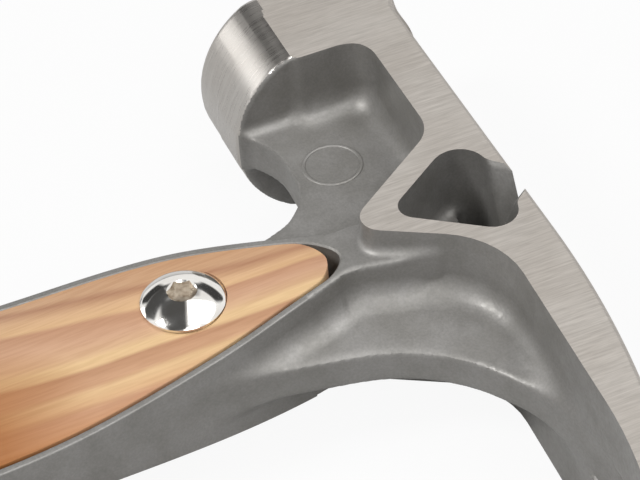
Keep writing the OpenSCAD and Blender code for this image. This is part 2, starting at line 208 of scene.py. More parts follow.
# Scales
SCALE_S = 18.4
SCALE_END_S = END_S - 9.0
SCALE_END_R = POCKET_END_R - 0.7
SCALE_GAP = 0.16
SCALE_END_GAP = 0.1
SCALE_FLOOR_GAP = 0.02
SCALE_MIN_HALF = 0.5
SCALE_EASE = 0.3
SCALE_RINGS = 180
EDGE_PROUD = 0.08

# Fasteners
SCREW_S = (40.2, 180.2, 320.2)
SLEEVE_HOLE_R = 4.05
HEAD_R = 6.3
HEAD_H = 2.7
HEAD_EDGE = 0.6
HEAD_EDGE_EASE = 0.06
HEAD_FOOT_BEVEL = 0.15
DOME_RINGS = 24
DOME_SHARE = 0.985
SEAT_GAP = 0.15
SEAT_SINK = 0.45
SCREW_STEM_R = 2.45
SCREW_STEM = 9.0
NUT_SLEEVE_R = 3.9
NUT_PAST_MIDDLE = 1.5
SOCKET_AF = 4.0
SOCKET_DEPTH = 2.0
SOCKET_BEVEL = 0.9
SOCKET_BEVEL_LOW = 1.1
SOCKET_BEVEL_HIGH = 0.7
HEX_TURN = math.radians(10)

# Thin ring on the pocket floor
MARK_CENTRE = (29.6, -6.7)
MARK_R = 4.5
MARK_HALF = 0.36
MARK_HEIGHT = 0.26
MARK_SINK = 0.04
MARK_FOOT = 0.2

# Wood grain in metres: where its bands fan out from and how far they open, and a spot of painted shade by
# the rim, where the wood is made darker and warmer
FAN_X = (70.7 - HEAD_LENGTH / 2) * MM
FAN_FROM_Y = 0.165
FAN_TO_Y = 0.052
FAN_NARROW = 0.9
FAN_WIDE = 2.1
BANDS_W = 0.030
PAINTED_SHADE_SPOT = ((67.5 - HEAD_LENGTH / 2) * MM, (OVERALL_LENGTH / 2 - POLL_R - 76.0) * MM, 0.022)

ORIGIN = Vector((body_lo.x, body_hi.y - POLL_R * MM, (body_lo.z + body_hi.z) / 2))


def at(x, y, z):
    """A point of the hammer in the part's own frame, in metres."""
    return ORIGIN + Vector((x, y, z)) * MM


def curve(s, column):
    """Smooth curve through the handle stations, read at s in one of their columns."""
    s = np.asarray(s, float)
    knots = STATIONS[:, 0]
    values = STATIONS[:, column]
    before = np.maximum(np.arange(len(knots)) - 1, 0)
    after = np.minimum(np.arange(len(knots)) + 1, len(knots) - 1)
    slopes = (values[after] - values[before]) / (knots[after] - knots[before])
    i = np.clip(np.searchsorted(knots, s, side="right") - 1, 0, len(knots) - 2)
    span = knots[i + 1] - knots[i]
    u = (s - knots[i]) / span
    return (
        values[i] * (2 * u**3 - 3 * u**2 + 1)
        + values[i + 1] * (3 * u**2 - 2 * u**3)
        + slopes[i] * span * (u**3 - 2 * u**2 + u)
        + slopes[i + 1] * span * (u**3 - u**2)
    )


# Outlines
def circle(centre, r, count=64, start=0.0):
    """Points round a circle, the first one at the angle start."""
    turn = np.arange(count) * 2 * math.pi / count + start
    return np.column_stack([centre[0] + r * np.cos(turn), centre[1] + r * np.sin(turn)])


def leaf_half(s, start, wall, end_r):
    """Half width of a leaf that stays inside the frame by wall, with a round end of length end_r."""
    s = np.asarray(s, float)
    share = np.clip(1 - (s - start) / end_r, 0, 1)
    return (curve(s, HALF) - wall) * np.sqrt(1 - share**2)


def leaf_outline(start, end, wall, end_r, count=150):
    """Outline of a leaf, with its points closer together at the round end."""
    steps = start + (end - start) * np.linspace(0, 1, count) ** 2
    centre = curve(steps, CENTRE)
    half = leaf_half(steps, start, wall, end_r)
    left = np.column_stack([centre - half, -steps])
    right = np.column_stack([centre + half, -steps])[:0:-1]
    return np.concatenate([left, right])


def rounded(points, steps=7):
    """An outline from corners (x, y, radius)."""
    out = []
    n = len(points)
    for i in range(n):
        a, b, c = (np.array(points[j % n][:2], float) for j in (i - 1, i, i + 1))
        r = points[i][2]
        if r == 0:
            out.append(b)
            continue
        la, lc = np.linalg.norm(a - b), np.linalg.norm(c - b)
        u, v = (a - b) / la, (c - b) / lc
        half = math.acos(max(-1.0, min(1.0, float(u @ v)))) / 2
        reach = min(r / math.tan(half), 0.48 * la, 0.48 * lc)
        rr = reach * math.tan(half)
        centre = b + (u + v) / np.linalg.norm(u + v) * rr / math.sin(half)
        p0, p1 = b + u * reach - centre, b + v * reach - centre
        a0 = math.atan2(p0[1], p0[0])
        turn = (math.atan2(p1[1], p1[0]) - a0 + 3 * math.pi) % (2 * math.pi) - math.pi
        for k in range(steps + 1):
            t = a0 + turn * k / steps
            out.append(centre + rr * np.array([math.cos(t), math.sin(t)]))
    return np.array(out)


def claw_top(x):
    """Height of the top at x, on the claws' arc."""
    return TOP_Y - CLAW_R + math.sqrt(CLAW_R**2 - (x - CREST_X) ** 2)


def flank_outline():
    """Lower edge of the bar, the V-shaped strip and the claws, closed above the top and past the tip."""
    crest = np.array([CREST_X, TOP_Y - CLAW_R])
    tip = np.array([HEAD_LENGTH, claw_top(HEAD_LENGTH)])
    low = tip - TIP_T * (tip - crest) / np.linalg.norm(tip - crest)
    bend = np.array([BEND_X, claw_top(BEND_X) - BEND_T])
    beyond = low + PAST_TIP * (low - bend)
    return rounded([
        (beyond[0], tip[1] + ABOVE_TOP, 0),
        (*beyond, 0),
        (*bend, BEND_R),
        (SHOULDER_X, FLANGE_Y, SHOULDER_R),
        (*APEX, APEX_R),
        (KNEE_X, POCKET_Y, KNEE_R),
        (POLL_LENGTH, POCKET_Y, POCKET_REAR_R),
        (POLL_LENGTH, POLL_CORE_Y, 0),
        (POLL_CORE_X, POLL_CORE_Y, 0),
        (POLL_CORE_X, TOP_Y + ABOVE_TOP, 0),
    ])


def web_outline():
    """Plate from the collar round the neck, across the handle and round the arch to the claws."""
    left = float(curve(NECK_S, CENTRE) - curve(NECK_S, HALF)) + OVERLAP
    right = float(curve(NECK_S, CENTRE) + curve(NECK_S, HALF)) - OVERLAP
    return rounded([
        (COLLAR_LENGTH, POCKET_Y + OVERLAP, 0),
        (COLLAR_LENGTH, -POLL_R + OVERLAP, 0),
        (POLL_LENGTH, -POLL_R + OVERLAP, 0),
        (POLL_LENGTH + 6, NECK_Y, 12),
        (NECK_X, NECK_Y - 0.3, 10),
        (NECK_X + 5, NECK_Y - 4.9, 8),
        (left, 12 - NECK_S, 20),
        (left, -NECK_S, 0),
        (right, -NECK_S, 0),
        (*ARCH, ARCH_R),
        (ARCH_END_X, FLANGE_Y, 0),
        (ARCH_END_X, FLANGE_Y + OVERLAP, 0),
        (SHOULDER_X, FLANGE_Y + OVERLAP, 0),
        (KNEE_X, POCKET_Y + OVERLAP, 0),
    ])


def shelf_outline():
    """Raised shelf that runs from the end of the handle up to the tip of the V-shaped strip."""
    centre = float(curve(BAR_S, CENTRE))
    half = float(curve(BAR_S, HALF))
    left = [(APEX[0] + x, APEX[1] + y, r) for x, y, r in SHELF_LEFT]
    right = [(APEX[0] + x, APEX[1] + y, r) for x, y, r in SHELF_RIGHT]
    return rounded([*left, (centre - half, -BAR_S, 0), (centre + half, -BAR_S, 0), *right])


def head_profile(inset):
    """Everything below the top of the head, seen from the side; inset lowers the top behind the poll."""
    left = -9
    right = HEAD_LENGTH + 6
    low = -END_S - 9
    high = 30
    points = []
    for a, share in zip(np.linspace(0, math.pi / 2, len(TOP_CHAMFER_SHARES)), TOP_CHAMFER_SHARES):
        x = COLLAR_LENGTH + STEP_R * (1 - math.cos(a))
        y = TOP_Y + STEP_R * (1 - math.sin(a))
        points.append((x, y - inset * share))
    for x in np.linspace(CREST_X, right, 60):
        points.append((x, claw_top(x) - inset))
    points += [(right, low), (left, low), (left, high), (COLLAR_LENGTH, high)]
    return np.array(points)


# Distance fields: negative inside, in millimetres
def polygon_field(x, y, outline):
    """Distance from an outline in the plane."""
    best = np.full(np.broadcast(x, y).shape, 1e9, np.float32)
    inside = np.zeros(best.shape, bool)
    for (ax, ay), (bx, by) in zip(outline, np.roll(outline, -1, axis=0)):
        ex, ey = bx - ax, by - ay
        wx, wy = x - ax, y - ay
        t = np.clip((wx * ex + wy * ey) / (ex * ex + ey * ey + 1e-12), 0, 1)
        best = np.minimum(best, (wx - ex * t) ** 2 + (wy - ey * t) ** 2)
        if ay != by:
            crosses = ((ay <= y) != (by <= y)) & (x < ax + (y - ay) * ex / ey)
            inside ^= crosses
    best = np.sqrt(best)
    return np.where(inside, -best, best).astype(np.float32)


def join(a, b, r):
    """Union with a concave fillet of radius r."""
    fillet = np.sqrt(np.maximum(r - a, 0) ** 2 + np.maximum(r - b, 0) ** 2)
    return np.maximum(r, np.minimum(a, b)) - fillet


def meet(a, b, r):
    """Intersection with a rounded edge of radius r."""
    edge = np.sqrt(np.maximum(r + a, 0) ** 2 + np.maximum(r + b, 0) ** 2)
    return np.minimum(-r, np.maximum(a, b)) + edge


def web_height(web, x):
    """Height of the web: it rises away from the arch, and rounds off just before its edge."""
    inside = -web
    rise = TILT * np.clip(inside - TILT_START, 0, TILT_REACH)
    rise = rise - WEB_ROLL * np.clip(1 - inside / WEB_ROLL_W, 0, 1) ** 2
    return (WEB_HALF + np.where(x > TILT_X, rise, 0)).astype(np.float32)


def raised_part(x, y):
    """Plan and height of the shelf and the upper end of the handle, which stand above the web."""
    s = -y
    within = np.clip(s, START_S, END_S)
    inset = BAR_INSET * np.clip((s - BAR_S) / BAR_INSET_RAMP, 0, 1)
    leaf = np.abs(x - curve(within, CENTRE)) - leaf_half(within, START_S, 0, START_R) + inset
    slope = np.gradient(curve(s[0], HALF), s[0])
    leaf = leaf / np.sqrt(1 + slope[None, :] ** 2)
    leaf = np.maximum(leaf, START_S - s)
    plan = np.minimum(polygon_field(x, y, shelf_outline()), leaf)
    shelf = float(curve(POCKET_S, RIM)) + SHELF_FALL * (POCKET_S - s)
    height = np.where(s > POCKET_S, curve(within, RIM) - inset, shelf)
    return plan.astype(np.float32), height.astype(np.float32)


def poll_field(x, rho, side):
    """Turned poll with a chamfered face, an eased rear edge and soft edges along its flats."""
    drum = np.maximum(rho - POLL_R, -x)
    drum = np.maximum(drum, (rho - POLL_R + FACE_CHAMFER - x) * DIAGONAL)
    drum = meet(drum, side - FLAT_OFFSET, FLAT_BLEND)
    return meet(drum, x - POLL_LENGTH, REAR_EDGE_R)


def notch_field(x, y, z):
    """Nail notch: a bevelled groove through the window's roof, with worn lips."""
    wide = np.where(x < NOTCH_X, *NOTCH_WINDOW_HALF)
    narrow = np.where(x < NOTCH_X, *NOTCH_HALF)
    share = np.clip((y - ROOF_Y) / (TOP_Y - ROOF_Y), -0.3, 1.3)
    lip = NOTCH_LIP * np.clip(1 + (z - BODY_HALF) / NOTCH_LIP_DEPTH, 0, 1) ** 2
    mouth = wide + (narrow - wide) * share + lip
    groove = np.abs(x - NOTCH_X) - mouth + (BODY_HALF - z) * math.tan(NOTCH_BEVEL)
    return np.maximum(groove * math.cos(NOTCH_BEVEL), ROOF_Y - NOTCH_BELOW - y)


def widening(x, first, start):
    """Half width at x of a slot that is first at start, and opens towards the tips."""
    return first + (SLOT_TIP_HALF - SLOT_ROOT_HALF) * (x - start) / (HEAD_LENGTH - start)


def slot_field(x, z):
    """Nail slot between the claws."""
    return np.maximum(z - widening(x, SLOT_ROOT_HALF, SLOT_ROOT_X), SLOT_ROOT_X - x)


def relief_field(x, z, outer):
    """Shallow relief round the slot on the lower side of the claws, which starts with a ramp."""
    ramp_end = RELIEF_X + RELIEF_RAMP
    depth = np.interp(x, [RELIEF_X, ramp_end, HEAD_LENGTH], [0, RELIEF_DEPTH, RELIEF_TIP_DEPTH])
    return np.maximum(-outer - depth, np.maximum(z - widening(x, RELIEF_HALF, RELIEF_X), RELIEF_X - x))


def casting_field(xs, ys, zs):
    """Distance field of the head before its sides and top are cut, on the half with z above 0."""
    x2, y2 = np.meshgrid(xs, ys, indexing="ij")
    outer = polygon_field(x2, y2, flank_outline())
    window = polygon_field(x2, y2, rounded(WINDOW))
    flank = np.maximum(np.maximum(outer, -window), x2 - HEAD_LENGTH)
    arc = np.hypot(x2 - CREST_X, y2 - TOP_Y + CLAW_R) - CLAW_R
    top = np.where(x2 < CREST_X, y2 - TOP_Y, arc).astype(np.float32)
    web = polygon_field(x2, y2, web_outline())
    plan, height = raised_part(x2, y2)

    x, y, z = xs[:, None, None], ys[None, :, None], zs[None, None, :]
    side = z - BODY_HALF
    flank3 = np.maximum(flank[:, :, None], np.maximum(top[:, :, None], side) - PAST_CUT)
    web3 = meet(web[:, :, None], z - web_height(web, x2)[:, :, None], WEB_EDGE_R)
    raised3 = meet(plan[:, :, None], z - height[:, :, None], RIDGE_R)
    fillet = np.where(window < 1, WINDOW_FILLET, WALL_FILLET).astype(np.float32)[:, :, None]
    field = join(flank3, web3, fillet)
    field = np.minimum(field, join(raised3, web3, RIDGE_FILLET))
    field = np.minimum(field, join(flank3, raised3, SHELF_FILLET))

    rho = np.sqrt(y * y + z * z)
    field = join(field, poll_field(x, rho, side), POLL_FILLET)
    cone = (rho - POLL_R - np.maximum(0, x - COLLAR_LENGTH)) * COLLAR_CONE_FADE
    field = np.maximum(field, np.where(x < POLL_LENGTH, cone, -FAR))
    field = meet(field, -notch_field(x, y, z), NOTCH_EDGE_R)
    field = np.maximum(field, -slot_field(x, z))
    field = meet(field, -relief_field(x, z, outer[:, :, None]), RELIEF_EDGE_R)
    return field.astype(np.float32)


# Meshes
def new_object(name, data):
    obj = bpy.data.objects.new(name, data)
    bpy.context.scene.collection.objects.link(obj)
    return obj


def mesh_object(name, vertices, faces):
    mesh = bpy.data.meshes.new(name)
    mesh.from_pydata([tuple(v) for v in vertices], [], [tuple(f) for f in faces])
    mesh.update()
    return new_object(name, mesh)


def rectangle(name, w, h):
    """A flat rectangle round its origin, with half sides w and h."""
    return mesh_object(name, [(-w, -h, 0), (w, -h, 0), (w, h, 0), (-w, h, 0)], [(0, 1, 2, 3)])


def field_object(name, field, axes):
    """A closed mesh on the zero level of a field, which is sampled along three axes."""
    grid = openvdb.FloatGrid(FIELD_BAND)
    grid.copyFromArray(np.clip(field, -FIELD_BAND, FIELD_BAND))
    points, triangles, quads = grid.convertToPolygons(isovalue=0.0, adaptivity=0.0)
    place = [np.interp(points[:, k], np.arange(len(axis)), axis) for k, axis in enumerate(axes)]
    return mesh_object(name, np.column_stack(place), [*triangles, *quads])


def prism(name, outline, z0, z1):
    """A closed prism on an outline, from z0 to z1."""
    n = len(outline)
    following = np.roll(outline, -1, axis=0)
    area = np.sum(outline[:, 0] * following[:, 1] - following[:, 0] * outline[:, 1])
    ring = outline if area > 0 else outline[::-1]
    vertices = [(*p, z0) for p in ring] + [(*p, z1) for p in ring]
    sides = [(i, (i + 1) % n, n + (i + 1) % n, n + i) for i in range(n)]
    return mesh_object(name, vertices, [tuple(range(n))[::-1], tuple(range(n, 2 * n)), *sides])


def loft(name, rings):
    """A closed mesh through rings of equal length, capped at both ends."""
    n = len(rings[0])
    vertices = [point for ring in rings for point in ring]
    faces = [tuple(range(n))[::-1], tuple(range((len(rings) - 1) * n, len(rings) * n))]
    for i in range(len(rings) - 1):
        for j in range(n):
            k = (j + 1) % n
            faces.append((i * n + j, i * n + k, (i + 1) * n + k, (i + 1) * n + j))
    return mesh_object(name, vertices, faces)


def revolved(name, profile, centre, count=96):
    """A closed solid of revolution about z from (radius, z) points; radius 0 closes it at both ends."""
    bm = bmesh.new()
    rings = []
    for r, z in profile:
        if r == 0:
            rings.append([bm.verts.new((centre[0], centre[1], z))] * count)
            continue
        turn = [2 * math.pi * i / count for i in range(count)]
        points = [(centre[0] + r * math.cos(a), centre[1] + r * math.sin(a), z) for a in turn]
        rings.append([bm.verts.new(point) for point in points])
    for lower, upper in zip(rings, rings[1:]):
        for i in range(count):
            j = (i + 1) % count
            corners = list(dict.fromkeys([lower[i], lower[j], upper[j], upper[i]]))
            if len(corners) > 2:
                bm.faces.new(corners)
    bmesh.ops.remove_doubles(bm, verts=bm.verts, dist=0.0001)
    bmesh.ops.recalc_face_normals(bm, faces=bm.faces)
    mesh = bpy.data.meshes.new(name)
    bm.to_mesh(mesh)
    bm.free()
    return new_object(name, mesh)


def outward(obj):
    """Turns all faces of a closed mesh to the outside."""
    bm = bmesh.new()
    bm.from_mesh(obj.data)
    bmesh.ops.recalc_face_normals(bm, faces=bm.faces)
    bm.to_mesh(obj.data)
    bm.free()
    return obj


def cut(obj, cutter, operation="DIFFERENCE"):
    """Applies a boolean with another closed mesh, and removes that mesh."""
    tool = obj.modifiers.new("cut", "BOOLEAN")
    tool.operation = operation
    tool.solver = "MANIFOLD"
    tool.object = cutter
    graph = bpy.context.evaluated_depsgraph_get()
    result = bpy.data.meshes.new_from_object(obj.evaluated_get(graph))
    obj.modifiers.remove(tool)
    obj.data = result
    bpy.data.objects.remove(cutter)


def faces_of(obj):
    """Centres and normals of the faces, as arrays."""
    count = len(obj.data.polygons)
    centres = np.empty(count * 3, np.float32)
    normals = np.empty(count * 3, np.float32)
    obj.data.polygons.foreach_get("center", centres)
    obj.data.polygons.foreach_get("normal", normals)
    return centres.reshape(-1, 3), normals.reshape(-1, 3)


# Cast frame
def bar_ring(s):
    """Cross-section of the handle frame: upright sides, eased edges, and a crown behind the scales."""
    x = float(curve(s, CENTRE))
    half = float(curve(s, HALF))
    past_corner = s - END_S + BUTT_CORNER_R
    if past_corner > 0:
        half = BUTT_HALF - BUTT_CORNER_R + math.sqrt(max(0.0, BUTT_CORNER_R**2 - past_corner**2))
    rim = float(curve(s, RIM))
    across = np.linspace(-1, 1, 21) * (half - SIDE_EDGE_R)
    top = np.full(len(across), rim)
    if s > SCALE_END_S:
        top = np.minimum(rim + sag(BUTT_HALF) - sag(np.abs(across)), BODY_HALF)
    ease = []
    for a in np.linspace(0, math.pi / 2, 4)[1:]:
        out = half - SIDE_EDGE_R * (1 - math.sin(a))
        ease.append((out, top[-1] - SIDE_EDGE_R * (1 - math.cos(a))))
    upper = [(-w, z) for w, z in reversed(ease)] + list(zip(across, top)) + ease
    ring = upper + [(w, -z) for w, z in reversed(upper)]
    return [(x + float(w), -s, float(z)) for w, z in ring]


def make_bar():
    """Handle frame from the shelf to the butt, with closer rings where it curves."""
    corner_s = END_S - BUTT_CORNER_R
    steps = [*np.linspace(BAR_S, 96, 49), *np.linspace(100, SCALE_END_S, 90)]
    steps += [SCALE_END_S + 0.01, *np.linspace(SCALE_END_S + 0.5, corner_s, 6)]
    steps += [END_S - BUTT_CORNER_R * (1 - math.sin(a)) for a in np.linspace(0, math.pi / 2, 14)[1:]]
    return outward(loft("bar", [bar_ring(s) for s in steps]))


def scale_pocket(side):
    """Hollow for a scale, with a bevel round its mouth."""
    inner = leaf_outline(POCKET_S, SCALE_END_S, RIM_W, POCKET_END_R)
    outer = leaf_outline(POCKET_S - RIM_BEVEL, SCALE_END_S, RIM_W - RIM_BEVEL, POCKET_END_R + RIM_BEVEL)
    rim = curve(-inner[:, 1], RIM)
    floor = [(x, y, side * PLATE_HALF) for x, y in inner]
    lower = [(x, y, side * (z - RIM_BEVEL)) for (x, y), z in zip(inner, rim)]
    upper = [(x, y, side * z) for (x, y), z in zip(outer, rim)]
    above = [(x, y, side * (BODY_HALF + 3)) for x, y in outer]
    return outward(loft("pocket", [floor, lower, upper, above]))


def head_limits():
    """All that lies between the ground sides and below the top, with the top's edges chamfered."""
    low = head_profile(TOP_CHAMFER)
    full = head_profile(0.0)
    inner = BODY_HALF - TOP_CHAMFER
    rims = ((low, -BODY_HALF), (full, -inner), (full, inner), (low, BODY_HALF))
    return outward(loft("limits", [[(x, y, z) for x, y in ring] for ring, z in rims]))


def sleeve_hole(s, half_height):
    return prism("sleeve_hole", circle(fastener_centre(s), SLEEVE_HOLE_R), -half_height, half_height)


def grid_axis(start, end):
    return np.arange(start, end, GRID).astype(np.float32)


def make_casting():
    """Head and handle frame in one piece."""
    xs = grid_axis(-1.2, HEAD_LENGTH + 1.6)
    ys = grid_axis(-70.0, 18.8)
    zs = grid_axis(0.2, BODY_HALF + 2)
    half = casting_field(xs, ys, zs)
    # The field ends inside the handle, so its two lowest layers close the mesh
    half[:, :2, :] = np.maximum(half[:, :2, :], 1.0)
    field = np.concatenate([half[:, :, ::-1], half], axis=2)
    body = field_object("cast_frame", field, (xs, ys, np.concatenate([-zs[::-1], zs])))
    cut(body, head_limits(), "INTERSECT")
    cut(body, make_bar(), "UNION")
    for side in (1, -1):
        cut(body, scale_pocket(side))
    for s in SCREW_S:
        cut(body, sleeve_hole(s, PLATE_HALF + 1))
    return body


def machined_faces(obj):
    """Material index of each face of the casting, and a mask of its flat sides.

    The index is 0 on the blasted skin, 1 on ground faces and 2 on turned faces.
    """
    (x, y, z), (nx, ny, nz) = (a.T for a in faces_of(obj))
    rho = np.hypot(y, z)
    arc = TOP_Y - CLAW_R + np.sqrt(CLAW_R**2 - np.clip(x - CREST_X, 0, 90) ** 2)
    ground = (np.abs(z) > BODY_HALF - 0.05) & (np.abs(nz) > 0.9) & (y > -60)
    ground |= (y > arc - 0.75) & (ny > 0.3) & (x > COLLAR_LENGTH)
    ground |= (y > TOP_Y - 0.3) & (x > COLLAR_LENGTH - 0.2) & (x < POLL_LENGTH)
    turned = (x < POLL_LENGTH + 0.1) & (rho > POLL_R - 3) & (np.abs(nx) < 0.6) & ~ground
    turned |= x < FACE_CHAMFER
    flat = (np.abs(z) > BODY_HALF - 0.02) & (np.abs(nz) > 0.99)
    return np.where(turned, 2, np.where(ground, 1, 0)).astype(np.int32), flat


def make_ring_mark():
    """Thin raised circle on the floor of the upper pocket."""
    profile = []
    for k in range(9):
        a = math.pi * k / 8
        profile.append((MARK_R + MARK_HALF * math.cos(a), WEB_HALF - MARK_SINK + MARK_HEIGHT * math.sin(a)))
    outer = (MARK_R + MARK_HALF, WEB_HALF - MARK_FOOT)
    inner = (MARK_R - MARK_HALF, WEB_HALF - MARK_FOOT)
    return revolved("ring_mark", [outer, *profile, inner, outer], MARK_CENTRE, 128)


# Scales
def scale_half(s):
    return leaf_half(s, SCALE_S, RIM_W + SCALE_GAP, SCALE_END_R)


def scale_ring(s, side):
    """Cross-section of a scale: flat floor, upright edges, eased corners and a crowned top."""
    half = max(float(scale_half(s)), SCALE_MIN_HALF)
    edge = float(curve(s, RIM)) + EDGE_PROUD
    x = float(curve(s, CENTRE))
    ease = min(SCALE_EASE, 0.5 * half)
    across = np.linspace(-1, 1, 41) * (half - ease)
    top = edge + sag(half) - sag(np.abs(across))
    slope = math.asin(half / CROWN_R)
    lean = [slope + (math.pi / 2 - slope) * k / 4 for k in range(1, 5)]
    shoulder = []
    for a in lean:
        drop = ease * (math.cos(lean[0]) - math.cos(a))
        shoulder.append((half - ease + ease * math.sin(a), float(top[-1]) - drop))
    right = [(x + w, z) for w, z in shoulder]
    left = [(x - w, z) for w, z in reversed(shoulder)]
    middle = [(x + float(w), float(z)) for w, z in zip(across, top)]
    floor = PLATE_HALF + SCALE_FLOOR_GAP
    ring = [(x - half, floor), *left, *middle, *right, (x + half, floor)]
    return [(px, -s, side * pz) for px, pz in (ring if side < 0 else ring[::-1])]


def make_scale(name, side):
    """Wooden scale with its sleeve holes and seats."""
    length = SCALE_END_S - SCALE_END_GAP - SCALE_S
    steps = SCALE_S + length * (np.arange(1, SCALE_RINGS + 1) / SCALE_RINGS) ** 2
    scale = loft(name, [scale_ring(s, side) for s in steps])
    for s in SCREW_S:
        cut(scale, sleeve_hole(s, BODY_HALF * 2))
        seat = sorted((side * seat_height(s), side * 2 * BODY_HALF))
        cut(scale, prism("seat", circle(fastener_centre(s), HEAD_R + SEAT_GAP), *seat))
    return scale


# Fasteners
def fastener_centre(s):
    return float(curve(s, CENTRE)), -s


def seat_height(s):
    return float(curve(s, RIM)) + EDGE_PROUD + float(sag(float(scale_half(s)))) - SEAT_SINK


def dome_profile(base):
    """Half profile of a domed head from its edge to the top, standing on z = base."""
    rise = HEAD_H - HEAD_EDGE
    ball = (HEAD_R**2 + rise**2) / (2 * rise)
    spread_angle = math.asin(HEAD_R / ball)
    points = [
        (HEAD_R - HEAD_FOOT_BEVEL, base),
        (HEAD_R, base + HEAD_FOOT_BEVEL),
        (HEAD_R, base + HEAD_EDGE - HEAD_EDGE_EASE),
    ]
    for k in range(1, DOME_RINGS + 1):
        a = spread_angle * (1 - k / DOME_RINGS) * DOME_SHARE
        points.append((ball * math.sin(a), base + HEAD_H - ball + ball * math.cos(a)))
    points[-1] = (0, points[-1][1])
    return points


def make_fastener(name, s, side):
    """Domed head with a hexagonal socket, and the shank or sleeve below it."""
    centre = fastener_centre(s)
    base = seat_height(s)
    stem = SCREW_STEM_R if side > 0 else NUT_SLEEVE_R
    depth = SCREW_STEM if side > 0 else base + NUT_PAST_MIDDLE
    profile = [(0, base - depth), (stem, base - depth), (stem, base), *dome_profile(base)]
    head = revolved(name, profile, centre)
    top = base + HEAD_H
    corner = SOCKET_AF / 2 / math.cos(math.pi / 6)
    cut(head, prism("socket", circle(centre, corner, 6, HEX_TURN), top - SOCKET_DEPTH, top + 2))
    low = top - SOCKET_BEVEL_LOW
    high = top + SOCKET_BEVEL_HIGH
    bevel = [(0, low), (corner - SOCKET_BEVEL, low), (corner + SOCKET_BEVEL, high), (0, high)]
    cut(head, revolved("bevel", bevel, centre))
    if side < 0:
        head.data.transform(Matrix.Diagonal((1, 1, -1, 1)))
        head.data.flip_normals()
    return head


def socket_faces(obj, s):
    """Material index of each face of a fastener: 1 inside its socket, 0 elsewhere."""
    x, y, z = faces_of(obj)[0].T
    centre = fastener_centre(s)
    top = seat_height(s) + HEAD_H
    near_axis = np.hypot(x - centre[0], y - centre[1]) < SOCKET_AF * 0.58
    below_rim = np.abs(np.abs(z) - top + 1.3) < 0.75
    return (near_axis & below_rim).astype(np.int32)


# Materials
def new_material(name):
    material = bpy.data.materials.new(name)
    material.use_nodes = True
    return material, material.node_tree, material.node_tree.nodes["Principled BSDF"]


def node(tree, kind, inputs=None, **settings):
    """Adds a shader node; each input is linked where it is a socket, and set where it is a value."""
    made = tree.nodes.new("ShaderNode" + kind)
    for key, value in settings.items():
        setattr(made, key, value)
    for key, value in (inputs or {}).items():
        if isinstance(value, bpy.types.NodeSocket):
            tree.links.new(value, made.inputs[key])
        else:
            made.inputs[key].default_value = value
    return made


def math_node(tree, operation, a, b=0.0):
    return node(tree, "Math", {0: a, 1: b}, operation=operation).outputs[0]


def object_space(tree):
    return node(tree, "TexCoord").outputs["Object"]


def noise(tree, vector, scale, stretch=(1, 1, 1), detail=3.0, turn=0.0):
    """Noise in the object's own space.

    The scale is in cells per metre, stretch multiplies it along each axis, and turn is an angle about z.
    """
    size = tuple(scale * k for k in stretch)
    inputs = {"Vector": vector, "Scale": size, "Rotation": (0, 0, turn)}
    place = node(tree, "Mapping", inputs, vector_type="POINT").outputs[0]
    return node(tree, "TexNoise", {"Vector": place, "Scale": 1.0, "Detail": detail}).outputs["Fac"]


def spread(tree, value, low, high, to_low=0.0, to_high=1.0):
    """Maps the range from low to high onto another range."""
    return node(tree, "MapRange", {0: value, 1: low, 2: high, 3: to_low, 4: to_high}).outputs[0]


def blend(tree, factor, a, b, kind="MIX"):
    """Mixes two colours."""
    made = node(tree, "Mix", data_type="RGBA", blend_type=kind)
    for socket, value in ((made.inputs[0], factor), (made.inputs[6], a), (made.inputs[7], b)):
        if isinstance(value, bpy.types.NodeSocket):
            tree.links.new(value, socket)
        else:
            socket.default_value = value if isinstance(value, float) else (*value, 1)
    return made.outputs[2]


def tinted(tree, tone, tint):
    """Multiplies a varying colour by a fixed tint."""
    return blend(tree, 1.0, tone, tint, "MULTIPLY")


def ramp(tree, factor, stops):
    made = node(tree, "ValToRGB", {0: factor})
    band = made.color_ramp
    while len(band.elements) < len(stops):
        band.elements.new(0.5)
    for element, (place, colour) in zip(band.elements, stops):
        element.position = place
        element.color = (*colour, 1)
    return made.outputs[0]


def bump(tree, height, strength, distance, normal=None):
    """Bump from a height, over another bump where one is given; distance is in metres."""
    inputs = {"Height": height, "Strength": strength, "Distance": distance}
    if normal is not None:
        inputs["Normal"] = normal
    return node(tree, "Bump", inputs).outputs[0]


def srgb(r, g, b):
    """A colour given in screen values from 0 to 255, as linear light."""
    return tuple((c / 255 / 12.92) if c <= 10 else ((c / 255 + 0.055) / 1.055) ** 2.4 for c in (r, g, b))


def wire(tree, shader, colour, roughness, normal=None):
    """Links the varying inputs of a shader."""
    tree.links.new(colour, shader.inputs["Base Color"])
    tree.links.new(roughness, shader.inputs["Roughness"])
    if normal is not None:
        tree.links.new(normal, shader.inputs["Normal"])


def cast_skin():
    """Blasted cast steel: dark, matt and finely grained, with soft blotches."""
    material, tree, shader = new_material("cast_skin")
    place = object_space(tree)
    blotch = noise(tree, place, 150, detail=4)
    grain = noise(tree, place, 2600, detail=2)
    pits = noise(tree, place, 900, detail=3)
    tone = blend(tree, spread(tree, blotch, 0.35, 0.65), srgb(136, 134, 130), srgb(148, 146, 143))
    shade = tinted(tree, tone, (0.86, 0.86, 0.86))
    tone = blend(tree, spread(tree, grain, 0.3, 0.7), shade, tone)
    roughness = spread(tree, pits, 0.3, 0.7, 0.42, 0.55)
    pitted = bump(tree, pits, 0.25, 0.00012)
    wire(tree, shader, tone, roughness, bump(tree, grain, 0.35, 0.00006, pitted))
    shader.inputs["Metallic"].default_value = 0.5
    return material


